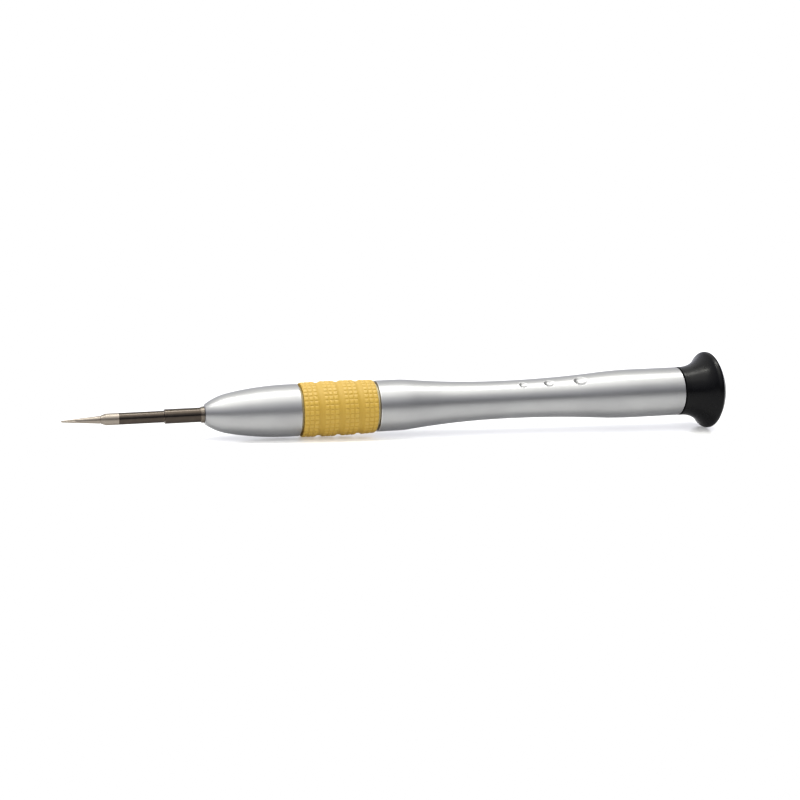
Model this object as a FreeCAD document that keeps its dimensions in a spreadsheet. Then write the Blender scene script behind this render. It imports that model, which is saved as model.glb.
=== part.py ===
"""Precision screwdriver: star-tip blade in a turned handle with a rubber grip and a ball-bearing swivel cap.

The tool's axis is +X, from the driver tip at the origin to the cap. +Z is up. Millimetres.
"""
import FreeCAD, Part
import Sketcher
import math
import os
from collections import namedtuple

SHEET = "dims"

# Every x_ value is a distance from the driver tip along the axis. Every other length is a radius, unless its
# name says otherwise.
SIZES = {
    # blade
    "tip_end": 0.17,
    "x_lobes_end": 2.6,
    "x_taper_end": 6.8,
    "taper_end": 0.72,
    "x_front_start": 7.65,
    "blade_front": 1.07,
    "x_front_end": 17.85,
    "x_shank_start": 18.0,
    "shank": 1.33,
    "x_collar": 24.4,
    "collar": 1.5,
    "x_tail_end": 45.0,
    "tail_chamfer": 0.35,
    "flute_offset": 1.15,
    "flute_share": 0.43,
    # handle, nose to sleeve seat
    "x_nose": 25.0,
    "socket": 1.34,
    "x_socket_end": 45.6,
    "lip_radius": 0.5,
    "nose_radius": 10.5,
    "x_nose_blend": 29.2,
    "shoulder_radius": 56.5,
    "x_shoulder": 40.4,
    "shoulder": 4.77,
    "x_seat": 42.05,
    "seat": 4.2,
    "x_seat_end": 56.62,
    # handle, barrel to rear
    "barrel": 4.73,
    "x_neck": 60.65,
    "x_neck_blend": 63.1,
    "x_waist": 80.9,
    "waist": 3.6,
    "x_waist_end": 81.7,
    "x_flare_blend": 100.2,
    "x_rear": 108.0,
    "rear": 4.66,
    "x_rear_end": 117.05,
    "rear_chamfer": 0.12,
    "screw_hole": 1.0,
    "x_screw_hole_end": 110.75,
    "drill_point": 0.6,
    # dimples
    "dimple_angle": 34.0,
    "dimple_depth_share": 0.3,
    "x_dimple1": 84.75,
    "dimple1": 0.77,
    "x_dimple2": 89.85,
    "dimple2": 1.0,
    "x_dimple3": 96.05,
    "dimple3": 1.3,
    # grip sleeve
    "x_sleeve": 42.45,
    "x_sleeve_end": 56.15,
    "sleeve_front": 5.04,
    "sleeve_rear": 4.94,
    "band_length": 2.65,
    "groove_depth": 0.18,
    "groove_flank": 0.12,
    "sleeve_edge": 0.12,
    # swivel cap
    "x_cap": 117.25,
    "cap_front": 4.7,
    "x_cap_flare": 118.0,
    "cap_flare_radius": 5.83,
    "cap_rim_radius": 0.71,
    "cap_dome_radius": 11.4,
    "x_cap_end": 126.4,
    "cap_bore": 2.9,
    "x_cover_seat": 124.0,
    "cover_seat": 5.7,
    "cover": 5.62,
    "cover_recess": 3.6,
    "x_cover_recess": 125.35,
    # bearing
    "x_bearing": 120.4,
    "bearing_width": 3.0,
    "bearing_bore": 1.5,
    "inner_land": 2.1,
    "outer_land": 2.9,
    "bearing_outside": 3.5,
    "pitch": 2.5,
    "race": 0.65,
    "ball": 0.6,
    "ball_pocket": 0.66,
    "cage_inside": 2.25,
    "cage_outside": 2.75,
    "cage_back": 0.9,
    "cage_front": 0.3,
    "shield_seat": 3.05,
    "shield_seat_depth": 0.27,
    "shield_thickness": 0.15,
    "shield_bore": 2.2,
    "ring_chamfer": 0.12,
    # shoulder screw and spacer
    "spacer_bore": 1.52,
    "shoulder_shank": 1.49,
    "screw_thread": 0.98,
    "x_thread_end": 111.55,
    "thread_chamfer": 0.25,
    "screw_head": 2.0,
    "head_height": 0.85,
    "head_chamfer": 0.15,
    "hex_key": 1.5,
    "hex_depth": 0.9,
}
LOBES = 5
BANDS = 4
DIMPLES = 3
BALLS = 7

ORIGIN, H_AXIS, V_AXIS = -1, -1, -2
START, END, CENTRE = 1, 2, 3
BULGE, HOLLOW = -1, 1

# A corner's x and r are sheet expressions, or plain numbers as a starting guess where tangency settles them.
# arc is the radius of the edge leaving the corner ("" is a straight edge), turn its side and centre the arc's
# centre. smooth makes the edges that meet at the corner tangent.
Corner = namedtuple("Corner", "x r arc turn smooth centre", defaults=("", 0, False, None))


def make_sheet(doc):
    """Put the driving dimensions in a spreadsheet, one alias to a row."""
    sheet = doc.addObject("Spreadsheet::Sheet", SHEET)
    for row, (alias, value) in enumerate(SIZES.items(), start=1):
        sheet.set(f"A{row}", alias)
        sheet.set(f"B{row}", str(value))
        sheet.setAlias(f"B{row}", alias)
    doc.recompute()


def bind(item, prop, expression):
    """Bind a property to a sheet expression; words that are sheet aliases need no prefix."""
    item.setExpression(prop, with_sheet(expression))


def with_sheet(expression):
    """Put the sheet's name before each alias in an expression."""
    out = ""
    word = ""
    for letter in expression + " ":
        if letter.isalnum() or letter == "_":
            word += letter
            continue
        out += (f"{SHEET}.{word}" if word in SIZES else word) + letter
        word = ""
    return out.strip()


def value(item, expression):
    """The number that a sheet expression gives now; a plain number stands for itself."""
    return item.evalExpression(with_sheet(expression)) if isinstance(expression, str) else expression


def new_body(doc, label):
    body = doc.addObject("PartDesign::Body", label)
    body.Label = label
    return body


def origin_item(body, role):
    return next(item for item in body.Origin.OriginFeatures if item.Role == role)


def new_sketch(body, name, role="XY_Plane", offset="0"):
    """A sketch on one of the body's origin planes, moved along the plane's normal by offset."""
    sketch = body.newObject("Sketcher::SketchObject", name)
    sketch.AttachmentSupport = [(origin_item(body, role), "")]
    sketch.MapMode = "FlatFace"
    bind(sketch, "AttachmentOffset.Base.z", offset)
    return sketch


def fix_point(sketch, geo, pos, x, y):
    """Hold a sketch point at sheet expressions x and y; a coordinate that is no expression stays free."""
    for kind, zero_axis, expression in (("DistanceX", V_AXIS, x), ("DistanceY", H_AXIS, y)):
        if expression == "0":
            sketch.addConstraint(Sketcher.Constraint("PointOnObject", geo, pos, zero_axis))
        elif isinstance(expression, str):
            now = value(sketch, expression)
            index = sketch.addConstraint(Sketcher.Constraint(kind, ORIGIN, 1, geo, pos, now))
            bind(sketch, f"Constraints[{index}]", expression)


def fix_radius(sketch, geo, expression):
    index = sketch.addConstraint(Sketcher.Constraint("Radius", geo, value(sketch, expression)))
    bind(sketch, f"Constraints[{index}]", expression)


def arc_between(start, end, radius, turn):
    """The arc shorter than a half circle from start to end, turning left (HOLLOW) or right (BULGE)."""
    chord = end - start
    side = FreeCAD.Vector(-chord.y, chord.x, 0).normalize() * turn
    height = math.sqrt(max(radius ** 2 - (chord.Length / 2) ** 2, 0))
    centre = start + chord / 2 + side * height
    first, last = (start, end) if turn == HOLLOW else (end, start)
    angles = [math.atan2(p.y - centre.y, p.x - centre.x) for p in (first, last)]
    return Part.ArcOfCircle(Part.Circle(centre, FreeCAD.Vector(0, 0, 1), radius), *angles)


def draw_outline(sketch, corners):
    """Draw a closed outline of lines and arcs through the corners and constrain it to the sheet."""
    points = [FreeCAD.Vector(value(sketch, c.x), value(sketch, c.r), 0) for c in corners]
    edges = []
    for corner, start, end in zip(corners, points, points[1:] + points[:1]):
        if corner.arc:
            shape = arc_between(start, end, value(sketch, corner.arc), corner.turn)
            ends = (START, END) if corner.turn == HOLLOW else (END, START)
        else:
            shape = Part.LineSegment(start, end)
            ends = (START, END)
        edges.append((sketch.addGeometry(shape), *ends))
    for index, corner in enumerate(corners):
        before, _, before_end = edges[index - 1]
        geo, start, _ = edges[index]
        joined = "Tangent" if corner.smooth else "Coincident"
        sketch.addConstraint(Sketcher.Constraint(joined, before, before_end, geo, start))
        fix_point(sketch, geo, start, corner.x, corner.r)
        if corner.arc:
            fix_radius(sketch, geo, corner.arc)
        if corner.centre:
            fix_point(sketch, geo, CENTRE, *corner.centre)


def turn_outline(body, corners):
    """Make a turned solid: the outline swept round the tool's axis."""
    sketch = new_sketch(body, "Outline")
    draw_outline(sketch, corners)
    turned = body.newObject("PartDesign::Revolution", "Turned")
    turned.Profile = sketch
    turned.ReferenceAxis = (sketch, ["H_Axis"])
    turned.Angle = 360
    return turned


def turned_body(doc, label, corners):
    body = new_body(doc, label)
    turn_outline(body, corners)
    return body


def repeat_round(body, feature, count):
    """Repeat a feature evenly round the tool's axis."""
    pattern = body.newObject("PartDesign::PolarPattern", "RoundTheAxis")
    pattern.Originals = [feature]
    pattern.Axis = (origin_item(body, "X_Axis"), [""])
    pattern.Angle = 360
    pattern.Occurrences = count
    body.Tip = pattern


def place(item, x, y, z):
    for letter, expression in zip("xyz", (x, y, z)):
        bind(item, f"Placement.Base.{letter}", expression)


def tube(x, end, inside, outside, chamfer="0"):
    """The outline of a plain ring, with its outer corners chamfered where a chamfer is given."""
    if chamfer == "0":
        return [Corner(x, inside), Corner(x, outside), Corner(end, outside), Corner(end, inside)]
    return [
        Corner(x, inside),
        Corner(x, f"{outside} - {chamfer}"),
        Corner(f"{x} + {chamfer}", outside),
        Corner(f"{end} - {chamfer}", outside),
        Corner(end, f"{outside} - {chamfer}"),
        Corner(end, inside),
    ]


def double_bend(x, blend, end, first, last, turns):
    """Two tangent arcs that leave radius first level at x and reach radius last level at end.

    They meet at x = blend, on the straight line between the two ends.
    """
    run = f"({end} - {x})"
    change = f"abs({last} - {first})"
    unit_radius = f"({run} ^ 2 + {change} ^ 2) / (2 * {run} * {change})"
    return [
        Corner(x, first, f"({blend} - {x}) * {unit_radius}", turns[0]),
        Corner(blend, f"{first} + ({last} - {first}) * ({blend} - {x}) / {run}",
               f"({end} - {blend}) * {unit_radius}", turns[1]),
        Corner(end, last),
    ]


def make_blade(doc):
    """Blade with a fine five-lobed tip, a stop collar and a plain tail that is pressed into the handle."""
    body = turned_body(doc, "blade", [
        Corner("0", "0"),
        Corner("0", "tip_end"),
        Corner("x_taper_end", "taper_end"),
        Corner("x_front_start", "blade_front"),
        Corner("x_front_end", "blade_front"),
        Corner("x_shank_start", "shank"),
        Corner("x_collar", "shank"),
        Corner("x_collar", "collar"),
        Corner("x_nose", "collar"),
        Corner("x_nose", "shank"),
        Corner("x_tail_end - tail_chamfer", "shank"),
        Corner("x_tail_end", "shank - tail_chamfer"),
        Corner("x_tail_end", "0"),
    ])
    cone_there = "(tip_end + (taper_end - tip_end) * x_lobes_end / x_taper_end)"
    sections = []
    for name, x, cone in (("FluteFront", "0", "tip_end"), ("FluteBack", "x_lobes_end", cone_there)):
        sketch = new_sketch(body, name, "YZ_Plane", x)
        centre_height, radius = f"flute_offset * {cone}", f"flute_share * {cone}"
        centre = FreeCAD.Vector(0, value(sketch, centre_height), 0)
        circle = sketch.addGeometry(Part.Circle(centre, FreeCAD.Vector(0, 0, 1), value(sketch, radius)))
        fix_point(sketch, circle, CENTRE, "0", centre_height)
        fix_radius(sketch, circle, radius)
        sections.append(sketch)
    flute = body.newObject("PartDesign::SubtractiveLoft", "Flute")
    flute.Profile = sections[0]
    flute.Sections = sections[1:]
    repeat_round(body, flute, LOBES)


def make_handle(doc):
    """One turned handle: rounded nose, sleeve seat, waist and flared rear, bored at both ends."""
    body = turned_body(doc, "handle", [
        Corner("x_socket_end", "0"),
        Corner("x_socket_end", "socket"),
        Corner("x_nose", "socket"),
        Corner("x_nose", 1.52, "lip_radius", BULGE, True),
        Corner(25.21, 1.92, "nose_radius", BULGE, True),
        Corner("x_nose_blend", 3.65, "shoulder_radius", BULGE, True),
        Corner("x_shoulder", "shoulder", "", 0, True),
        Corner("x_seat", "shoulder"),
        Corner("x_seat", "seat"),
        Corner("x_seat_end", "seat"),
        Corner("x_seat_end", "barrel"),
        *double_bend("x_neck", "x_neck_blend", "x_waist", "barrel", "waist", (BULGE, HOLLOW)),
        *double_bend("x_waist_end", "x_flare_blend", "x_rear", "waist", "rear", (HOLLOW, BULGE)),
        Corner("x_rear_end - rear_chamfer", "rear"),
        Corner("x_rear_end", "rear - rear_chamfer"),
        Corner("x_rear_end", "screw_hole"),
        Corner("x_screw_hole_end", "screw_hole"),
        Corner("x_screw_hole_end - drill_point", "0"),
    ])
    run, change = "(x_rear - x_waist_end)", "(rear - waist)"
    hollow = f"((x_flare_blend - x_waist_end) * ({run} ^ 2 + {change} ^ 2) / (2 * {run} * {change}))"
    for number in range(1, DIMPLES + 1):
        x, mouth = f"x_dimple{number}", f"dimple{number}"
        surface = f"(waist + {hollow} - sqrt({hollow} ^ 2 - ({x} - x_waist_end) ^ 2))"
        radius = f"({mouth} * (1 + dimple_depth_share ^ 2) / (2 * dimple_depth_share))"
        distance = f"({surface} + {radius} - {mouth} * dimple_depth_share)"
        dimple = body.newObject("PartDesign::SubtractiveSphere", f"Dimple{number}")
        bind(dimple, "Radius", radius)
        dimple.Placement.Rotation = FreeCAD.Rotation(FreeCAD.Vector(1, 0, 0), 0)
        bind(dimple, "Placement.Rotation.Angle", "dimple_angle")
        place(dimple, x, f"-{distance} * sin(dimple_angle)", f"{distance} * cos(dimple_angle)")


def make_grip_sleeve(doc):
    """Stretched rubber sleeve: raised bands, where the knurl is, with smooth grooves between them."""
    taper = "(sleeve_rear - sleeve_front) / (x_sleeve_end - x_sleeve)"
    length = "(x_sleeve_end - x_sleeve)"
    corners = [Corner("x_sleeve", "seat"), Corner("x_sleeve", "sleeve_front - sleeve_edge")]
    for band in range(BANDS):
        start = f"x_sleeve + {band} * ({length} - band_length) / {BANDS - 1}"
        end = f"{start} + band_length"
        first_x = f"{start} + sleeve_edge" if band == 0 else start
        last_x = f"{end} - sleeve_edge" if band == BANDS - 1 else end
        for x in (first_x, last_x):
            corners.append(Corner(x, f"sleeve_front + ({x} - x_sleeve) * {taper}"))
        if band < BANDS - 1:
            next_start = f"x_sleeve + {band + 1} * ({length} - band_length) / {BANDS - 1}"
            for x in (f"{end} + groove_flank", f"{next_start} - groove_flank"):
                corners.append(Corner(x, f"sleeve_front - groove_depth + ({x} - x_sleeve) * {taper}"))
    corners += [Corner("x_sleeve_end", "sleeve_rear - sleeve_edge"), Corner("x_sleeve_end", "seat")]
    turned_body(doc, "grip_sleeve", corners)


def make_cap_body(doc):
    """Flared cap with a rounded rim; the bearing goes in from the rear and the cover closes it."""
    dome_centre = ("x_cap_end - cap_dome_radius", "0")
    turned_body(doc, "cap_body", [
        Corner("x_cap", "cap_bore"),
        Corner("x_cap", "cap_front"),
        Corner("x_cap_flare", "cap_front", "cap_flare_radius", HOLLOW, True),
        Corner(122.74, 7.13, "cap_rim_radius", BULGE, True),
        Corner(123.87, 7.17, "cap_dome_radius", BULGE, True, dome_centre),
        Corner(124.87, "cover_seat"),
        Corner("x_cover_seat", "cover_seat"),
        Corner("x_cover_seat", "bearing_outside"),
        Corner("x_bearing", "bearing_outside"),
        Corner("x_bearing", "cap_bore"),
    ])


def make_cap_cover(doc):
    """Domed disc that carries on the cap's dome and clears the screw's head."""
    turned_body(doc, "cap_cover", [
        Corner("x_cover_recess", "0"),
        Corner("x_cover_recess", "cover_recess"),
        Corner("x_cover_seat", "cover_recess"),
        Corner("x_cover_seat", "cover"),
        Corner(124.92, "cover", "cap_dome_radius", BULGE, False, (115.0, "0")),
        Corner("x_cap_end", "0"),
    ])


def make_bearing_spacer(doc):
    """Tube that holds the inner ring away from the handle."""
    outline = tube("x_rear_end", "x_bearing", "spacer_bore", "inner_land", "ring_chamfer")
    turned_body(doc, "bearing_spacer", outline)


def make_cap_screw(doc):
    """Shoulder screw: screwed into the handle, its smooth shoulder is the axle of the inner ring."""
    shoulder_end = "x_bearing + bearing_width"
    head_end = f"{shoulder_end} + head_height"
    body = turned_body(doc, "cap_screw", [
        Corner("x_thread_end", "0"),
        Corner("x_thread_end", "screw_thread - thread_chamfer"),
        Corner("x_thread_end + thread_chamfer", "screw_thread"),
        Corner("x_rear_end", "screw_thread"),
        Corner("x_rear_end", "shoulder_shank"),
        Corner(shoulder_end, "shoulder_shank"),
        Corner(shoulder_end, "screw_head"),
        Corner(f"{head_end} - head_chamfer", "screw_head"),
        Corner(head_end, "screw_head - head_chamfer"),
        Corner(head_end, "0"),
    ])
    sketch = new_sketch(body, "Hexagon", "YZ_Plane", head_end)
    across = "hex_key / sqrt(3)"
    draw_outline(sketch, [Corner(f"{across} * cos({turn})", f"{across} * sin({turn})" if turn % 180 else "0")
                          for turn in range(0, 360, 60)])
    socket = body.newObject("PartDesign::Pocket", "HexSocket")
    socket.Profile = sketch
    bind(socket, "Length", "hex_depth")


def make_inner_ring(doc):
    """Inner ring of the bearing, with the ball groove round its outside."""
    end = "x_bearing + bearing_width"
    middle = "x_bearing + bearing_width / 2"
    half_groove = "sqrt(race ^ 2 - (pitch - inner_land) ^ 2)"
    turned_body(doc, "bearing_inner_ring", [
        Corner("x_bearing", "bearing_bore"),
        Corner("x_bearing", "inner_land"),
        Corner(f"{middle} - {half_groove}", "inner_land", "race", HOLLOW),
        Corner(f"{middle} + {half_groove}", "inner_land"),
        Corner(end, "inner_land"),
        Corner(end, "bearing_bore"),
    ])


def make_outer_ring(doc):
    """Outer ring of the bearing: ball groove inside, and a step at each face where a shield sits."""
    end = "x_bearing + bearing_width"
    middle = "x_bearing + bearing_width / 2"
    half_groove = "sqrt(race ^ 2 - (outer_land - pitch) ^ 2)"
    turned_body(doc, "bearing_outer_ring", [
        Corner("x_bearing", "shield_seat"),
        Corner("x_bearing", "bearing_outside - ring_chamfer"),
        Corner("x_bearing + ring_chamfer", "bearing_outside"),
        Corner(f"{end} - ring_chamfer", "bearing_outside"),
        Corner(end, "bearing_outside - ring_chamfer"),
        Corner(end, "shield_seat"),
        Corner(f"{end} - shield_seat_depth", "shield_seat"),
        Corner(f"{end} - shield_seat_depth", "outer_land"),
        Corner(f"{middle} + {half_groove}", "outer_land", "race", HOLLOW),
        Corner(f"{middle} - {half_groove}", "outer_land"),
        Corner("x_bearing + shield_seat_depth", "outer_land"),
        Corner("x_bearing + shield_seat_depth", "shield_seat"),
    ])


def make_shields(doc):
    """Thin pressed rings that close the bearing at each face, held by the outer ring."""
    inset = "shield_seat_depth - shield_thickness"
    ends = {
        "bearing_shield_front": (f"x_bearing + {inset}", "x_bearing + shield_seat_depth"),
        "bearing_shield_rear": ("x_bearing + bearing_width - shield_seat_depth",
                                f"x_bearing + bearing_width - ({inset})"),
    }
    for label, (start, end) in ends.items():
        turned_body(doc, label, tube(start, end, "shield_bore", "shield_seat"))


def round_the_pitch(step):
    """Where a ball sits on the pitch circle: expressions for x, y and z."""
    angle = f"({step} * 360 / {BALLS})"
    return "x_bearing + bearing_width / 2", f"pitch * sin{angle}", f"pitch * cos{angle}"


def make_balls(doc):
    """The bearing's balls, each a node of its own."""
    for number in range(BALLS):
        ball = doc.addObject("Part::Sphere", f"bearing_ball_{number + 1}")
        bind(ball, "Radius", "ball")
        place(ball, *round_the_pitch(number))


def make_cage(doc):
    """Crown cage: a ring between the bearing's rings, with a snap-in pocket for each ball."""
    middle = "x_bearing + bearing_width / 2"
    body = turned_body(doc, "bearing_cage",
                       tube(f"{middle} - cage_back", f"{middle} + cage_front", "cage_inside", "cage_outside"))
    pocket = body.newObject("PartDesign::SubtractiveSphere", "BallPocket")
    bind(pocket, "Radius", "ball_pocket")
    place(pocket, *round_the_pitch(0))
    repeat_round(body, pocket, BALLS)


def check(doc):
    """Stop if any object failed, any sketch is loose or any sub-part is not a sound solid."""
    for item in doc.Objects:
        if {"Invalid", "Error"} & set(item.State):
            raise RuntimeError(f"{item.Label}: {item.State}")
        if item.TypeId == "Sketcher::SketchObject" and not item.FullyConstrained:
            raise RuntimeError(f"{item.Label}: sketch is not fully constrained")
    for part in sub_parts(doc):
        if part.Shape.isNull() or not part.Shape.isValid() or not part.Shape.Solids:
            raise RuntimeError(f"{part.Label}: no valid solid")


def sub_parts(doc):
    """The objects that are written out, one node each."""
    return [item for item in doc.Objects if item.TypeId in ("PartDesign::Body", "Part::Sphere")]


def main():
    doc = FreeCAD.newDocument("screwdriver")
    make_sheet(doc)
    for make in (make_blade, make_handle, make_grip_sleeve, make_cap_body, make_cap_cover, make_cap_screw,
                 make_bearing_spacer, make_inner_ring, make_outer_ring, make_shields, make_balls, make_cage):
        make(doc)
    doc.recompute()
    check(doc)
    os.makedirs("parts", exist_ok=True)
    for part in sub_parts(doc):
        part.Shape.exportStep(f"parts/{part.Label}.step")
        print(part.Label, round(part.Shape.Volume, 2), "mm3,", len(part.Shape.Solids), "solid(s)")


main()
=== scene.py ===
"""Looks of the precision screwdriver: detailed turned pieces, materials, floor, light and camera.

Outlines are in millimetres, as (x, r): x along the tool from its tip, r from its axis. Meshes are in metres.
"""
import math

import bpy
import numpy as np
from mathutils import Matrix, Vector


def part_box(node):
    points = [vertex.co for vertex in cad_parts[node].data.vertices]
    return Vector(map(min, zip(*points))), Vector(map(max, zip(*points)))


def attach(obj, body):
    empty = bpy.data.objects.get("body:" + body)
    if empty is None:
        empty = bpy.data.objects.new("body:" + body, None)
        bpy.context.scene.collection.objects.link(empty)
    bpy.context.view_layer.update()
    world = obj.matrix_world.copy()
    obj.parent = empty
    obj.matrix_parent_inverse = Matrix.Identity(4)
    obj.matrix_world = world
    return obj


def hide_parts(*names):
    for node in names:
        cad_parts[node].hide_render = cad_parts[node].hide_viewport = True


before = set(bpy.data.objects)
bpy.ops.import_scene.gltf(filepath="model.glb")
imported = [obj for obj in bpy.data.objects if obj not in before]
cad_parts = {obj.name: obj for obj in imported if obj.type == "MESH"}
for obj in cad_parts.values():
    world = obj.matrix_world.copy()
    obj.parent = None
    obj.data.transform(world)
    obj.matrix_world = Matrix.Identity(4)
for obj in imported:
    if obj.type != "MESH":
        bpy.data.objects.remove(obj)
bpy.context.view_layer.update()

MM = 0.001
BULGE, HOLLOW = -1, 1
# A point whose r is below this, in millimetres, is on the axis.
ON_AXIS = 1e-6


# ---------------------------------------------------------------- outlines

# A corner is rounded in CORNER_STEPS if it turns by more than LEAST_TURN. It takes at most EDGE_SHARE of the
# sides beside it, and its wear ends GUARD times as far out.
CORNER_STEPS, LEAST_TURN = 4, math.radians(12)
EDGE_SHARE, GUARD = 0.25, 1.7


def reach(node):
    """Where a CAD node starts and ends along the tool, and its largest radius, in millimetres."""
    low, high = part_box(node)
    return low.x / MM, high.x / MM, high.z / MM


def arc(start, end, radius, turn, step=0.4):
    """Points from start to end along an arc of less than half a circle; turn is BULGE or HOLLOW."""
    start, end = Vector(start), Vector(end)
    chord = end - start
    side = Vector((-chord.y, chord.x)).normalized() * turn
    centre = start + chord / 2 + side * math.sqrt(max(radius ** 2 - (chord.length / 2) ** 2, 0))
    first = math.atan2(start.y - centre.y, start.x - centre.x)
    sweep = 2 * math.asin(min(chord.length / 2 / radius, 1)) * turn
    count = max(6, math.ceil(abs(sweep) * radius / step))
    angles = [first + sweep * i / count for i in range(count + 1)]
    return [(centre.x + radius * math.cos(a), centre.y + radius * math.sin(a)) for a in angles]


def double_bend(start, blend_x, end, turns, step=0.4):
    """Two tangent arcs from start to end, level at both; they meet at blend_x."""
    run, change = end[0] - start[0], abs(end[1] - start[1])
    unit_radius = (run ** 2 + change ** 2) / (2 * run * change)
    middle = (blend_x, start[1] + (end[1] - start[1]) * (blend_x - start[0]) / run)
    return (arc(start, middle, (blend_x - start[0]) * unit_radius, turns[0], step)
            + arc(middle, end, (end[0] - blend_x) * unit_radius, turns[1], step)[1:])


def circles_meet(centre_a, radius_a, centre_b, radius_b):
    """The rearmost point where two circles cross."""
    a, b = Vector(centre_a), Vector(centre_b)
    gap = (b - a).length
    along = (radius_a ** 2 - radius_b ** 2 + gap ** 2) / (2 * gap)
    across = math.sqrt(radius_a ** 2 - along ** 2)
    unit = (b - a) / gap
    points = [a + unit * along + Vector((-unit.y, unit.x)) * across * s for s in (1, -1)]
    return max(points, key=lambda p: p.x)


def toward(start, goal, distance):
    """The point at a distance from start in the direction of goal."""
    start, goal = Vector(start), Vector(goal)
    return tuple(start + (goal - start).normalized() * distance)


def break_edges(outline, radius):
    """Round every sharp corner of a closed outline by a small radius, as a real edge is.

    Points on the axis stay. Each point comes back as (x, r, worn): worn is 1 on a rounded corner, else 0.
    """
    rounded = []
    for i, here in enumerate(outline):
        before, after = Vector(outline[i - 1]), Vector(outline[(i + 1) % len(outline)])
        here = Vector(here)
        arriving, leaving = here - before, after - here
        turn = arriving.angle(leaving, 0) if arriving.length and leaving.length else 0
        if turn < LEAST_TURN or here.y < ON_AXIS:
            rounded.append((here.x, here.y, 0.0))
            continue
        distance = min(radius * math.tan(turn / 2), EDGE_SHARE * arriving.length, EDGE_SHARE * leaving.length)
        back, ahead = -arriving.normalized() * distance, leaving.normalized() * distance
        rounded.append((*(here + back * GUARD), 0.0))
        for step in range(CORNER_STEPS + 1):
            t = step / CORNER_STEPS
            point = here + (1 - t) ** 2 * back + t ** 2 * ahead
            rounded.append((point.x, point.y, 1.0))
        rounded.append((*(here + ahead * GUARD), 0.0))
    return rounded


# ---------------------------------------------------------------- meshes

SHARP_TURN = math.radians(50)


def even_angles(count):
    """Angles that divide a full turn into equal steps."""
    return [2 * math.pi * i / count for i in range(count)]


def lathe(name, outline, angles, reshape=None, around=None):
    """A closed mesh: the outline (x, r, worn) turned round the X axis. Angle 0 is +Z, a quarter turn is -Y.

    The mesh's "worn" attribute is the outline's worn value times around, which has a number for each angle.
    """
    angles = np.array(angles)
    around = np.ones(len(angles)) if around is None else np.array(around)
    points, wear_and_shade, rings = [], [], []
    total = 0
    for x, r, value in outline:
        if r < ON_AXIS:
            points.append(np.array([[x, 0.0, 0.0]]))
            wear_and_shade.append(np.array([value]))
            rings.append([total] * len(angles))
        else:
            places = [np.full(len(angles), x), -r * np.sin(angles), r * np.cos(angles)]
            points.append(np.stack(places, axis=1))
            wear_and_shade.append(value * around)
            rings.append(list(range(total, total + len(angles))))
        total += len(points[-1])
    points, wear_and_shade = np.concatenate(points), np.concatenate(wear_and_shade)
    if reshape:
        points = reshape(points, wear_and_shade)
    mesh = bpy.data.meshes.new(name)
    mesh.from_pydata((points * MM).tolist(), [], ring_faces(rings))
    mesh.validate()
    mesh.shade_smooth()
    mesh.set_sharp_from_angle(angle=SHARP_TURN)
    mesh.attributes.new("wear_and_shade", "FLOAT", "POINT").data.foreach_set("value", wear_and_shade.astype(np.float32))
    piece = bpy.data.objects.new(name, mesh)
    bpy.context.scene.collection.objects.link(piece)
    return piece


def ring_faces(rings):
    """Faces between each ring of vertex numbers and the next, and from the last to the first."""
    faces = []
    for ring, following in zip(rings, rings[1:] + rings[:1]):
        for i in range(len(ring)):
            j = (i + 1) % len(ring)
            corners = [ring[i], ring[j], following[j], following[i]]
            corners = [c for k, c in enumerate(corners) if c != corners[k - 1]]
            if len(corners) > 2:
                faces.append(corners)
    return faces


def finish_piece(piece, body, node, material):
    """Give a piece its material and the body it moves with, and hide the CAD node it stands for."""
    piece.data.materials.append(material)
    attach(piece, body)
    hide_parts(node)


# ---------------------------------------------------------------- materials

# Sockets of a mix node by what it mixes: its two inputs and its output.
MIX_SOCKETS = {"RGBA": (6, 7, 2), "FLOAT": (2, 3, 0)}


class Nodes:
    """Short calls for building a node tree."""

    def __init__(self, tree):
        self.tree = tree

    def add(self, kind, settings=None, **inputs):
        node = self.tree.nodes.new(kind)
        for key, setting in (settings or {}).items():
            setattr(node, key, setting)
        for key, given in inputs.items():
            self.feed(node.inputs[key.replace("_", " ")], given)
        return node

    def feed(self, socket, given):
        """Link a socket to another, or set its value. Colours are given without alpha."""
        if isinstance(given, bpy.types.NodeSocket):
            self.tree.links.new(given, socket)
        elif socket.type == "RGBA":
            socket.default_value = (*given, 1.0)
        else:
            socket.default_value = given

    def maths(self, operation, a, b):
        node = self.add("ShaderNodeMath", {"operation": operation})
        self.feed(node.inputs[0], a)
        self.feed(node.inputs[1], b)
        return node.outputs[0]

    def remap(self, value, low, high, to_low=0.0, to_high=1.0):
        """Goes smoothly from to_low to to_high as value goes from low to high."""
        node = self.add("ShaderNodeMapRange", {"interpolation_type": "SMOOTHSTEP"}, Value=value)
        for key, number in zip(("From Min", "From Max", "To Min", "To Max"), (low, high, to_low, to_high)):
            node.inputs[key].default_value = number
        return node.outputs[0]

    def mix(self, factor, a, b, kind="RGBA"):
        """A colour, or a number if kind is FLOAT, between a and b."""
        first, second, output = MIX_SOCKETS[kind]
        node = self.add("ShaderNodeMix", {"data_type": kind})
        for socket, given in ((0, factor), (first, a), (second, b)):
            self.feed(node.inputs[socket], given)
        return node.outputs[output]


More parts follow.
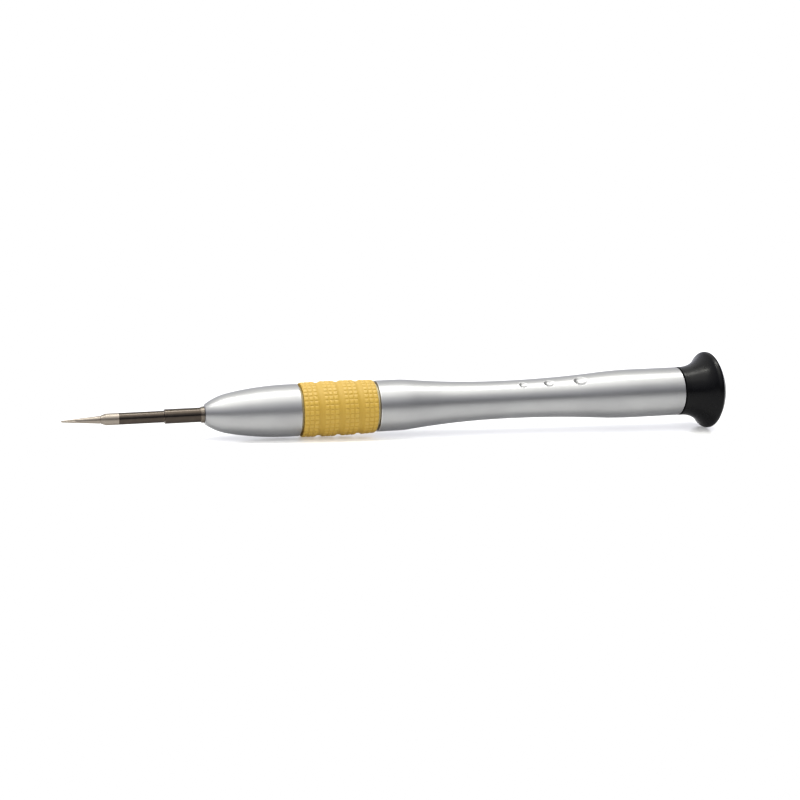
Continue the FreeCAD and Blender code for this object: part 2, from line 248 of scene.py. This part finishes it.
class Material(Nodes):
    """A material with one shader, whose patterns are fixed to the object."""

    def __init__(self, name):
        self.material = bpy.data.materials.new(name)
        self.material.use_nodes = True
        super().__init__(self.material.node_tree)
        self.shader = self.tree.nodes["Principled BSDF"]
        self.coordinates = self.add("ShaderNodeTexCoord").outputs["Object"]

    def noise(self, scale, detail, stretch=(1, 1, 1), roughness=0.55):
        """Noise over the object, from 0 to 1; scale is in features per millimetre."""
        mapped = self.add("ShaderNodeMapping", Vector=self.coordinates, Scale=stretch).outputs[0]
        node = self.add("ShaderNodeTexNoise", Vector=mapped, Scale=scale / MM, Detail=detail,
                        Roughness=roughness)
        return node.outputs["Fac"]

    def bump(self, height, distance, strength, under=None):
        """Bump of the given height in millimetres; under is an earlier bump's normal."""
        node = self.add("ShaderNodeBump", Height=height, Distance=distance * MM, Strength=strength)
        if under:
            self.feed(node.inputs["Normal"], under)
        return node.outputs[0]

    def along(self):
        """Distance from the tip, in millimetres."""
        split = self.add("ShaderNodeSeparateXYZ", Vector=self.coordinates)
        return self.maths("MULTIPLY", split.outputs["X"], 1 / MM)

    def between(self, start, end, softness):
        """1 between two distances from the tip, in millimetres, and 0 outside them."""
        after = self.remap(self.along(), start, start + softness)
        return self.maths("MULTIPLY", after, self.remap(self.along(), end - softness, end, 1.0, 0.0))

    def wear_and_shade(self):
        """1 on the rounded corners and the pips' tops, and 0 elsewhere: it gives wear on the corners, and on
        the grip sleeve painted shade in the valleys between the pips.
        """
        return self.add("ShaderNodeAttribute", {"attribute_name": "wear_and_shade"}).outputs["Fac"]

    def finish(self, **inputs):
        """Feed the shader's inputs and give back the material."""
        for key, given in inputs.items():
            self.feed(self.shader.inputs[key.replace("_", " ")], given)
        return self.material


def satin_aluminium(glue_start, glue_end):
    """Bead-blasted and clear-anodised aluminium: faint turning rings, handling marks, bright edges.

    Old glue dulls and yellows the stretch under the grip sleeve.
    """
    n = Material("satin_aluminium")
    blasted = n.noise(9.0, 2.0)
    cloud = n.noise(0.12, 4.0)
    rings = n.noise(2.2, 3.0, (1, 0.01, 0.01))
    scratches = n.remap(n.noise(1.1, 2.0, (0.06, 1, 1), 0.7), 0.68, 0.74)
    rubbed = n.remap(cloud, 0.35, 0.7)
    edge = n.maths("MULTIPLY", n.wear_and_shade(), n.remap(n.noise(1.5, 3.0), 0.35, 0.6, 0.3, 1.0))
    colour = n.mix(rubbed, (0.316, 0.317, 0.324), (0.338, 0.339, 0.345))
    colour = n.mix(n.maths("MULTIPLY", scratches, 0.2), colour, (0.42, 0.42, 0.43))
    colour = n.mix(n.maths("MULTIPLY", edge, 0.7), colour, (0.48, 0.48, 0.49))
    rough = n.maths("ADD", n.remap(rubbed, 0.0, 1.0, 0.35, 0.32), n.maths("MULTIPLY", blasted, 0.06))
    rough = n.maths("SUBTRACT", rough, n.maths("MULTIPLY", edge, 0.1))
    glue = n.between(glue_start, glue_end, 0.03)
    colour = n.mix(glue, colour, (0.5, 0.46, 0.34))
    rough = n.maths("ADD", rough, n.maths("MULTIPLY", glue, 0.35))
    normal = n.bump(blasted, 0.004, 0.5)
    normal = n.bump(rings, 0.003, 0.4, normal)
    return n.finish(Base_Color=colour, Metallic=1.0, Roughness=rough, Normal=normal)


def yellow_rubber():
    """Matt rubber with painted shade: darker down in the valleys of the knurl and in the grooves, lighter on
    the pips' tops.
    """
    n = Material("yellow_rubber")
    cloud = n.noise(0.35, 4.0)
    grain = n.noise(14.0, 2.0)
    colour = n.mix(cloud, (0.455, 0.298, 0.062), (0.495, 0.333, 0.075))
    # Painted shade: the colour darkens from the pips' tops toward the valleys and the grooves.
    colour = n.mix(n.remap(n.wear_and_shade(), 0.0, 1.0, 0.35, 0.0), colour, (0.34, 0.215, 0.04))
    rough = n.remap(n.wear_and_shade(), 0.0, 1.0, 0.62, 0.46)
    return n.finish(Base_Color=colour, Roughness=rough, Normal=n.bump(grain, 0.006, 0.5))


def blade_steel(bright_end, x_collar):
    """Tool steel with a dark nickel finish, bright at the ground tip and on the collar."""
    n = Material("blade_steel")
    ragged = n.maths("MULTIPLY", n.maths("SUBTRACT", n.noise(2.5, 3.0), 0.5), 0.12)
    along = n.maths("ADD", n.along(), ragged)
    ground = n.maths("ADD", n.remap(along, bright_end - 0.05, bright_end + 0.05, 1.0, 0.0),
                     n.remap(n.along(), x_collar - 0.03, x_collar + 0.01, 0.0, 0.4))
    lines = n.noise(6.0, 2.0, (1, 0.03, 0.03))
    spots = n.remap(n.noise(0.9, 4.0), 0.4, 0.75)
    dark = n.mix(spots, (0.072, 0.062, 0.054), (0.082, 0.071, 0.062))
    rubbed = n.maths("MULTIPLY", n.wear_and_shade(), n.remap(n.noise(2.0, 2.0), 0.4, 0.6, 0.2, 0.8))
    dark = n.mix(rubbed, dark, (0.22, 0.19, 0.165))
    bright = n.mix(lines, (0.22, 0.195, 0.17), (0.27, 0.24, 0.21))
    rough = n.mix(ground, n.remap(spots, 0.0, 1.0, 0.18, 0.22), n.remap(lines, 0.2, 0.8, 0.32, 0.4), "FLOAT")
    return n.finish(Base_Color=n.mix(ground, dark, bright), Metallic=1.0, Roughness=rough,
                    Normal=n.bump(lines, 0.002, 0.3))


def black_plastic(name, roughness):
    """Moulded black plastic with a fine texture, faint rubbing and scuffed edges."""
    n = Material(name)
    cloud = n.noise(0.5, 4.0)
    texture = n.noise(8.0, 3.0)
    scuffs = n.remap(n.noise(1.6, 3.0, (1, 0.25, 0.25)), 0.62, 0.72)
    colour = n.mix(cloud, (0.002, 0.002, 0.003), (0.0035, 0.0035, 0.005))
    scuffed = n.maths("MULTIPLY", n.maths("MULTIPLY", n.wear_and_shade(), scuffs), 0.6)
    colour = n.mix(scuffed, colour, (0.03, 0.03, 0.032))
    rough = n.maths("ADD", n.remap(cloud, 0.3, 0.7, roughness - 0.04, roughness + 0.05),
                    n.maths("MULTIPLY", scuffs, 0.05))
    return n.finish(Base_Color=colour, Roughness=rough, Specular_IOR_Level=0.24,
                    Normal=n.bump(texture, 0.004, 0.3))


def machined_metal(name, colour, pale, roughness):
    """Plain turned metal: fine rings and a slight change of tone."""
    n = Material(name)
    lines = n.noise(5.0, 2.0, (1, 0.05, 0.05))
    rough = n.remap(lines, 0.2, 0.8, roughness, roughness + 0.12)
    return n.finish(Base_Color=n.mix(lines, colour, pale), Metallic=1.0, Roughness=rough,
                    Normal=n.bump(lines, 0.004, 0.4))


# ---------------------------------------------------------------- blade

_, X_TAIL_END, COLLAR = reach("blade")
X_NOSE, X_REAR_END, SHOULDER = reach("handle")
SHANK, FRONT = 1.33, 1.07
TIP_END, TAPER_END = 0.17, 0.72
TIP_BLUNT = ((0, 0), (0, 0.55), (0.05, 0.9))    # (x, share of TIP_END)
CONE_START, CONE_STEP = 0.2, 0.15
X_LOBES_END, X_TAPER_END, X_FRONT_START = 2.6, 6.8, 7.65
X_BRIGHT_END = 9.95
X_FRONT_END, X_SHANK_START = 17.85, 18.0
COLLAR_WIDTH, TAIL_CHAMFER, BLADE_EDGE = 0.6, 0.35, 0.06
LOBES, SIDES_PER_LOBE = 5, 24
FLUTE_OFFSET, FLUTE_SHARE, FLUTE_FADE = 1.15, 0.43, 0.8


def cut_flutes(points, _):
    """Hollow the cone's tip into round lobes, fading out behind the star."""
    x, y, z = points.T
    radius = np.hypot(y, z)
    off = np.arctan2(-y, z) % (2 * math.pi / LOBES)
    off = np.minimum(off, 2 * math.pi / LOBES - off)
    cone = TIP_END + (TAPER_END - TIP_END) * np.clip(x, 0, X_TAPER_END) / X_TAPER_END
    inside = (FLUTE_SHARE * cone) ** 2 - (FLUTE_OFFSET * cone * np.sin(off)) ** 2
    flute = FLUTE_OFFSET * cone * np.cos(off) - np.sqrt(np.maximum(inside, 0))
    depth = np.where((inside > 0) & (radius > ON_AXIS), np.maximum(cone - flute, 0), 0)
    fade = np.clip((X_LOBES_END + FLUTE_FADE / 2 - x) / FLUTE_FADE, 0, 1)
    fade = fade * fade * (3 - 2 * fade)
    scale = 1 - depth * fade / cone
    return np.stack([x, y * scale, z * scale], axis=1)


def make_blade():
    """The blade: blunted and fluted cone, dark front, shank, collar at the nose and tail in the socket."""
    outline = [(x, TIP_END * share, 0.0) for x, share in TIP_BLUNT]
    outline += [(x, TIP_END + (TAPER_END - TIP_END) * x / X_TAPER_END, 0.0)
                for x in np.arange(CONE_START, X_TAPER_END, CONE_STEP)]
    x_collar = X_NOSE - COLLAR_WIDTH
    body = break_edges([
        (X_TAPER_END, TAPER_END), (X_FRONT_START, FRONT), (X_FRONT_END, FRONT), (X_SHANK_START, SHANK),
        (x_collar, SHANK), (x_collar, COLLAR), (X_NOSE, COLLAR), (X_NOSE, SHANK),
        (X_TAIL_END - TAIL_CHAMFER, SHANK), (X_TAIL_END, SHANK - TAIL_CHAMFER),
        (X_TAIL_END, 0), (X_TAPER_END, 0),
    ], BLADE_EDGE)
    outline += body[:-1]
    piece = lathe("blade_piece", outline, even_angles(LOBES * SIDES_PER_LOBE), cut_flutes)
    finish_piece(piece, "driver", "blade", blade_steel(X_BRIGHT_END, x_collar))


# ---------------------------------------------------------------- handle

X_SLEEVE, X_SLEEVE_END, SLEEVE_FRONT = reach("grip_sleeve")
X_SEAT, X_SEAT_END, SEAT = 42.05, 56.62, 4.2
SOCKET, SOCKET_PLAY = 1.34, 0.6
LIP_RADIUS, NOSE_RADIUS, SHOULDER_RADIUS = 0.5, 10.5, 56.5
LIP_STEP, NOSE_STEP = 0.05, 0.2
X_NOSE_BLEND, X_SHOULDER = 29.2, 40.4
BARREL, WAIST, REAR = 4.73, 3.6, 4.66
NECK, WAIST_START = (60.65, BARREL), (80.9, WAIST)
WAIST_END, REAR_START = (81.7, WAIST), (108.0, REAR)
X_NECK_BLEND, X_FLARE_BLEND = 63.1, 100.2
SCREW_HOLE, SCREW_HOLE_DEPTH, DRILL_POINT = 1.0, 6.3, 0.6
# Each dimple is (x, mouth radius). DIMPLE_DEPTH is a share of that radius. The ball pressed in shapes the
# surface out to BALL_REACH of its own radius.
DIMPLES = ((84.75, 0.77), (89.85, 1.0), (96.05, 1.3))
DIMPLE_ANGLE, DIMPLE_DEPTH = math.radians(34), 0.3
DIMPLE_EDGE, BALL_REACH = 0.02, 0.98
HANDLE_EDGE = 0.12
# The mesh is finer near the dimples: FINE_SPAN degrees to each side of them, and from FINE_BEFORE millimetres
# before the first to FINE_AFTER behind the last.
FINE_SPAN, FINE_BEFORE, FINE_AFTER = 27, 1.2, 2.0
FINE_TURN, COARSE_TURN = 0.5, 1.5
FINE_STEP, COARSE_EVERY = 0.06, 7


def nose_outline():
    """From the socket's mouth over the rounded lip and the two nose arcs to the shoulder."""
    shoulder_centre = Vector((X_SHOULDER, SHOULDER - SHOULDER_RADIUS))
    drop = math.sqrt(SHOULDER_RADIUS ** 2 - (X_SHOULDER - X_NOSE_BLEND) ** 2)
    blend = (X_NOSE_BLEND, shoulder_centre.y + drop)
    nose_centre = toward(blend, shoulder_centre, NOSE_RADIUS)
    distance = NOSE_RADIUS - LIP_RADIUS
    lip_x = X_NOSE + LIP_RADIUS
    lip_centre = (lip_x, nose_centre[1] + math.sqrt(distance ** 2 - (lip_x - nose_centre[0]) ** 2))
    lip_end = toward(nose_centre, lip_centre, NOSE_RADIUS)
    return (arc((X_NOSE, lip_centre[1]), lip_end, LIP_RADIUS, BULGE, LIP_STEP)
            + arc(lip_end, blend, NOSE_RADIUS, BULGE, NOSE_STEP)[1:]
            + arc(blend, (X_SHOULDER, SHOULDER), SHOULDER_RADIUS, BULGE)[1:])


def press_dimples(points, _):
    """Press a ball into the surface at each dimple, with a slightly softened edge."""
    axis = np.array([0, -math.sin(DIMPLE_ANGLE), math.cos(DIMPLE_ANGLE)])
    run, change = REAR_START[0] - WAIST_END[0], REAR - WAIST
    hollow = (X_FLARE_BLEND - WAIST_END[0]) * (run ** 2 + change ** 2) / (2 * run * change)
    for x, mouth in DIMPLES:
        surface = WAIST + hollow - math.sqrt(hollow ** 2 - (x - WAIST_END[0]) ** 2)
        ball = mouth * (1 + DIMPLE_DEPTH ** 2) / (2 * DIMPLE_DEPTH)
        height = points @ axis
        aside = np.linalg.norm(points - np.outer(height, axis) - np.array([x, 0, 0]), axis=1)
        floor = surface + ball - mouth * DIMPLE_DEPTH - np.sqrt(np.maximum(ball ** 2 - aside ** 2, 0))
        near = (aside < ball * BALL_REACH) & (height > 0)
        pressed = DIMPLE_EDGE * np.logaddexp(0, (height - floor) / DIMPLE_EDGE)
        points = points - np.outer(np.where(near, pressed, 0), axis)
    return points


def handle_angles():
    """Angles round the handle, closer together where the dimples are."""
    fine_start, fine_end = math.degrees(DIMPLE_ANGLE) - FINE_SPAN, math.degrees(DIMPLE_ANGLE) + FINE_SPAN
    return np.radians([*np.arange(fine_start, fine_end, FINE_TURN),
                       *np.arange(fine_end, fine_start + 360, COARSE_TURN)])


def flare_outline():
    """From the waist to the rear, with its points closer together where the dimples are."""
    fine_start, fine_end = DIMPLES[0][0] - FINE_BEFORE, DIMPLES[-1][0] + FINE_AFTER
    *bend, last = double_bend(WAIST_END, X_FLARE_BLEND, REAR_START, (HOLLOW, BULGE), FINE_STEP)
    return [point for i, point in enumerate(bend)
            if fine_start < point[0] < fine_end or i % COARSE_EVERY == 0] + [last]


def make_handle():
    """The handle, hollowed by the blade's socket and the screw's hole, with its seat, waist and dimples."""
    outline = [(X_TAIL_END + SOCKET_PLAY, SOCKET), (X_NOSE, SOCKET), *nose_outline(),
               (X_SEAT, SHOULDER), (X_SEAT, SEAT), (X_SEAT_END, SEAT), (X_SEAT_END, BARREL),
               *double_bend(NECK, X_NECK_BLEND, WAIST_START, (BULGE, HOLLOW)), *flare_outline(),
               (X_REAR_END, REAR), (X_REAR_END, SCREW_HOLE), (X_REAR_END - SCREW_HOLE_DEPTH, SCREW_HOLE),
               (X_REAR_END - SCREW_HOLE_DEPTH - DRILL_POINT, 0), (X_TAIL_END + SOCKET_PLAY, 0)]
    piece = lathe("handle_piece", break_edges(outline, HANDLE_EDGE), handle_angles(), press_dimples)
    finish_piece(piece, "driver", "handle", satin_aluminium(X_SEAT, X_SEAT_END))


# ---------------------------------------------------------------- grip sleeve

BANDS, COLUMNS, PIPS_ROUND = 4, 3, 35
BAND_LENGTH, GROOVE_DEPTH, VALLEY = 2.65, 0.24, 0.11
SLEEVE_TAPER, SLEEVE_CROWN, SLEEVE_INSET, END_STEP = 0.08, 0.14, 0.07, 0.1
# A pip's height across its pitch and a groove's depth across its width, as (share of width, share of height).
PIP_SHAPE = ((0.0, 0.0), (0.07, 0.12), (0.13, 0.6), (0.2, 0.9), (0.32, 1.0), (0.5, 1.05),
             (0.68, 1.0), (0.8, 0.9), (0.87, 0.6), (0.93, 0.12))
GROOVE_SHAPE = ((0.08, 0.3), (0.2, 0.78), (0.35, 0.96), (0.5, 1.0), (0.65, 0.96), (0.8, 0.78), (0.92, 0.3))


def sleeve_top(x):
    """Radius over the pips: a slight taper, and crowned where the stretched rubber swells."""
    t = (x - X_SLEEVE) / (X_SLEEVE_END - X_SLEEVE)
    return SLEEVE_FRONT - SLEEVE_INSET - SLEEVE_TAPER * t + 4 * t * (1 - t) * SLEEVE_CROWN


def sleeve_outline():
    """Outline of the valleys between the pips, with how much of a pip's height stands on each point."""
    pitch = (X_SLEEVE_END - X_SLEEVE - BAND_LENGTH) / (BANDS - 1)
    outline = [(X_SLEEVE, SEAT, 0.0), (X_SLEEVE, sleeve_top(X_SLEEVE) - VALLEY - END_STEP, 0.0)]
    for band in range(BANDS):
        start = X_SLEEVE + band * pitch
        for column in range(COLUMNS):
            for share, height in PIP_SHAPE:
                x = start + (column + share) * BAND_LENGTH / COLUMNS
                outline.append((x, sleeve_top(x) - VALLEY, height))
        end = start + BAND_LENGTH
        outline.append((end, sleeve_top(end) - VALLEY, 0.0))
        if band < BANDS - 1:
            for share, sink in GROOVE_SHAPE:
                x = end + share * (pitch - BAND_LENGTH)
                outline.append((x, sleeve_top(x) - VALLEY - (GROOVE_DEPTH - VALLEY) * sink, 0.0))
    return outline + [(X_SLEEVE_END, sleeve_top(X_SLEEVE_END) - VALLEY - END_STEP, 0.0),
                      (X_SLEEVE_END, SEAT, 0.0)]


def raise_pips(points, heights):
    """Lift each point off the valley by its share of a pip's height."""
    radius = np.hypot(points[:, 1], points[:, 2])
    scale = 1 + heights * VALLEY / radius
    return points * np.stack([np.ones_like(scale), scale, scale], axis=1)


def make_grip_sleeve():
    """Rubber sleeve with rows of square pips on its bands."""
    angles = [(pip + share) * 2 * math.pi / PIPS_ROUND for pip in range(PIPS_ROUND) for share, _ in PIP_SHAPE]
    around = [height for _ in range(PIPS_ROUND) for _, height in PIP_SHAPE]
    piece = lathe("grip_sleeve_piece", sleeve_outline(), angles, raise_pips, around)
    finish_piece(piece, "driver", "grip_sleeve", yellow_rubber())


# ---------------------------------------------------------------- cap

X_CAP, _, CAP_RIM = reach("cap_body")
X_COVER_SEAT, X_CAP_END, COVER = reach("cap_cover")
X_BEARING, _, BEARING_OUTSIDE = reach("bearing_outer_ring")
CAP_FRONT, COLLAR_LENGTH, CAP_BORE = 4.7, 0.75, 2.9
FLARE_RADIUS, RIM_RADIUS, DOME_RADIUS = 5.83, 0.71, 11.4
COVER_GAP, COVER_RECESS, X_COVER_RECESS = 0.08, 3.6, 125.35
CAP_SIDES, CAP_EDGE, CAP_STEP, RIM_STEP = 256, 0.07, 0.2, 0.08
CAP_ROUGHNESS, COVER_ROUGHNESS = 0.27, 0.22


def dome_point(r):
    """The point of the dome's outline at radius r."""
    return (X_CAP_END - DOME_RADIUS + math.sqrt(DOME_RADIUS ** 2 - r ** 2), r)


def make_cap():
    """The flared cap body and the domed cover let into it."""
    x_flare, cover_seat = X_CAP + COLLAR_LENGTH, COVER + COVER_GAP
    flare_centre = (x_flare, CAP_FRONT + FLARE_RADIUS)
    dome_centre = (X_CAP_END - DOME_RADIUS, 0)
    rim_centre = circles_meet(flare_centre, FLARE_RADIUS + RIM_RADIUS, dome_centre, DOME_RADIUS - RIM_RADIUS)
    flare_end = toward(flare_centre, rim_centre, FLARE_RADIUS)
    rim_end = toward(dome_centre, rim_centre, DOME_RADIUS)
    body = [(X_CAP, CAP_BORE), (X_CAP, CAP_FRONT),
            *arc((x_flare, CAP_FRONT), flare_end, FLARE_RADIUS, HOLLOW, CAP_STEP),
            *arc(flare_end, rim_end, RIM_RADIUS, BULGE, RIM_STEP)[1:],
            *arc(rim_end, dome_point(cover_seat), DOME_RADIUS, BULGE, CAP_STEP)[1:],
            (X_COVER_SEAT, cover_seat), (X_COVER_SEAT, BEARING_OUTSIDE), (X_BEARING, BEARING_OUTSIDE),
            (X_BEARING, CAP_BORE)]
    piece = lathe("cap_body_piece", break_edges(body, CAP_EDGE), even_angles(CAP_SIDES))
    finish_piece(piece, "cap", "cap_body", black_plastic("cap_plastic", CAP_ROUGHNESS))
    cover = [(X_COVER_RECESS, 0), (X_COVER_RECESS, COVER_RECESS), (X_COVER_SEAT, COVER_RECESS),
             (X_COVER_SEAT, COVER), *arc(dome_point(COVER), (X_CAP_END, 0), DOME_RADIUS, BULGE, CAP_STEP)]
    piece = lathe("cap_cover_piece", break_edges(cover, CAP_EDGE), even_angles(CAP_SIDES))
    finish_piece(piece, "cap", "cap_cover", black_plastic("cover_plastic", COVER_ROUGHNESS))


def dress_inner_parts():
    """Materials of the parts hidden inside the cap, whose CAD shapes are kept."""
    balls = [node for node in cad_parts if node.startswith("bearing_ball_")]
    finishes = {
        "screw_steel": ((0.27, 0.26, 0.25), (0.36, 0.35, 0.33), 0.3, ["cap_screw"]),
        "spacer_steel": ((0.5, 0.49, 0.47), (0.6, 0.59, 0.57), 0.3, ["bearing_spacer"]),
        "cage_brass": ((0.66, 0.45, 0.18), (0.8, 0.6, 0.3), 0.3, ["bearing_cage"]),
        "bearing_steel": ((0.62, 0.62, 0.63), (0.74, 0.74, 0.75), 0.12,
                          ["bearing_inner_ring", "bearing_outer_ring", *balls]),
        "shield_steel": ((0.52, 0.52, 0.53), (0.66, 0.66, 0.67), 0.26,
                         ["bearing_shield_front", "bearing_shield_rear"]),
    }
    for slot, (colour, pale, roughness, nodes) in finishes.items():
        material = machined_metal(slot, colour, pale, roughness)
        for node in nodes:
            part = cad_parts[node]
            part.data.materials.clear()
            part.data.materials.append(material)


# ---------------------------------------------------------------- stage, light and camera

# The tool lies on the cap's rim and on the sleeve's front end.
X_RIM, X_GRIP = 123.31, 42.6
REST_SLOPE = math.atan((CAP_RIM - SLEEVE_FRONT) / (X_RIM - X_GRIP))
FLOOR_RADIUS, FLOOR_SIDES, FLOOR_GREY = 5.0, 128, 0.68
# The floor's glow goes from GLOW_NEAR to GLOW_FAR between GLOW_START and GLOW_END metres from the cap's rim.
GLOW_START, GLOW_END, GLOW_NEAR, GLOW_FAR = 0.15, 1.2, 0.28, 0.85

# Name: place, size, power, colour.
SOFTBOXES = {
    "softbox_top": ((0.0, -0.18, 1.0), (1.5, 1.1), 6.3, (1.0, 0.995, 0.95)),
    "strip_top": ((0.0, 0.03, 1.0), (1.5, 0.1), 6.2, (1.0, 0.995, 0.94)),
}
# The sky's brightness by the height of a direction, from the horizon (0) to straight up (1).
SKY = ((0.0, 0.1), (0.1, 0.2), (0.26, 0.52), (0.42, 0.9), (0.57, 1.2), (0.7, 1.4), (0.82, 1.4), (1.0, 1.3))
SKY_LOW, SKY_HIGH = (0.92, 0.925, 1.0), (1.0, 0.995, 0.96)
BACKDROP, SIDE_SHADE = 1.08, 0.35
# Parts of a direction's x, y or z over which the sky fades from one brightness or tint to the next.
PAST_CAP, BEHIND, LOW_DOWN, TINT_RISE = (0.3, 0.8), (0.1, 0.8), (0.5, 0.2), (0.2, 0.9)

CONTRAST, WHITE_AT = ((0.06, 0.035), (0.2, 0.18), (0.45, 0.46)), 0.93
COMBINED_CURVE = 3
LENS, SENSOR, CLIP_START = 67.5, 36.0, 0.01
VIEW_AZIMUTH, VIEW_ELEVATION = math.radians(-15.256), math.radians(10.396)
CAMERA_DISTANCE, AIM = 0.27756, (61.343, 0.0, 0.9)


def make_stage():
    """A wide pale floor, sloped so that cap rim and sleeve rest on it."""
    points = [(FLOOR_RADIUS * math.cos(a), FLOOR_RADIUS * math.sin(a), 0) for a in even_angles(FLOOR_SIDES)]
    mesh = bpy.data.meshes.new("floor")
    mesh.from_pydata(points, [], [list(range(FLOOR_SIDES))])
    floor = bpy.data.objects.new("floor", mesh)
    bpy.context.scene.collection.objects.link(floor)
    rim = Vector((X_RIM, 0, -CAP_RIM)) * MM
    floor.matrix_world = Matrix.Translation(rim) @ Matrix.Rotation(REST_SLOPE, 4, "Y")
    n = Material("floor_white")
    distance = n.add("ShaderNodeVectorMath", {"operation": "LENGTH"}, Vector=n.coordinates).outputs["Value"]
    glow = n.remap(distance, GLOW_START, GLOW_END, GLOW_NEAR, GLOW_FAR)
    mesh.materials.append(n.finish(Base_Color=(FLOOR_GREY,) * 3, Roughness=0.2,
                                   Emission_Color=(1.0, 1.0, 1.0), Emission_Strength=glow))


def add_softbox(name, place, size, power, colour):
    """A rectangular area light that faces the origin and can't be seen by the camera."""
    light = bpy.data.lights.new(name, "AREA")
    light.shape = "RECTANGLE"
    light.size, light.size_y = size
    light.energy = power
    light.color = colour
    lamp = bpy.data.objects.new(name, light)
    bpy.context.scene.collection.objects.link(lamp)
    lamp.location = place
    lamp.rotation_mode = "QUATERNION"
    lamp.rotation_quaternion = (Vector((0, 0, 0)) - Vector(place)).to_track_quat("-Z", "Y")
    lamp.visible_camera = False


def world_sky(n):
    """Sockets for the sky's brightness and for its tint, from SKY_LOW (0) to SKY_HIGH (1).

    It is dim near the horizon and beyond the cap, bright above, and white low down behind the tool.
    """
    direction = n.add("ShaderNodeTexCoord").outputs["Generated"]
    x, y, z = n.add("ShaderNodeSeparateXYZ", Vector=direction).outputs
    sky = n.add("ShaderNodeFloatCurve", Value=z)
    curve = sky.mapping.curves[0]
    top = max(level for _, level in SKY)
    for height, level in SKY[1:-1]:
        curve.points.new(height, level / top)
    curve.points[0].location = (0.0, SKY[0][1] / top)
    curve.points[-1].location = (1.0, SKY[-1][1] / top)
    sky.mapping.update()
    shaded = n.maths("MULTIPLY", sky.outputs[0], n.remap(x, *PAST_CAP, top, top * SIDE_SHADE))
    backdrop = n.maths("MULTIPLY", n.remap(y, *BEHIND), n.remap(z, *LOW_DOWN))
    return n.mix(backdrop, shaded, BACKDROP, "FLOAT"), n.remap(z, *TINT_RISE)


def make_light():
    """A wide softbox with a brighter strip overhead, and a soft sky."""
    for name, settings in SOFTBOXES.items():
        add_softbox(name, *settings)
    world = bpy.data.worlds.new("studio")
    bpy.context.scene.world = world
    world.use_nodes = True
    n = Nodes(world.node_tree)
    level, rise = world_sky(n)
    background = n.tree.nodes["Background"]
    n.feed(background.inputs["Color"], n.mix(rise, SKY_LOW, SKY_HIGH))
    n.feed(background.inputs["Strength"], level)


def set_contrast():
    """A plain display with a slightly hard contrast curve, as a product photo has."""
    view = bpy.context.scene.view_settings
    view.view_transform = "Standard"
    view.use_curve_mapping = True
    view.curve_mapping.extend = "HORIZONTAL"
    curve = view.curve_mapping.curves[COMBINED_CURVE]
    for scene_level, shown_level in CONTRAST:
        curve.points.new(scene_level, shown_level)
    curve.points[-1].location = (WHITE_AT, 1.0)
    view.curve_mapping.update()


def make_camera():
    """The camera, CAMERA_DISTANCE from AIM at the view's azimuth and elevation."""
    data = bpy.data.cameras.new("camera")
    data.lens, data.sensor_width = LENS, SENSOR
    camera = bpy.data.objects.new("camera", data)
    bpy.context.scene.collection.objects.link(camera)
    a, e = VIEW_AZIMUTH, VIEW_ELEVATION
    back = Vector((math.sin(a) * math.cos(e), -math.cos(a) * math.cos(e), math.sin(e)))
    camera.location = Vector(AIM) * MM + back * CAMERA_DISTANCE
    camera.rotation_mode = "QUATERNION"
    camera.rotation_quaternion = (-back).to_track_quat("-Z", "Y")
    data.clip_start = CLIP_START
    bpy.context.scene.camera = camera


make_blade()
make_handle()
make_grip_sleeve()
make_cap()
dress_inner_parts()
make_stage()
make_light()
set_contrast()
make_camera()
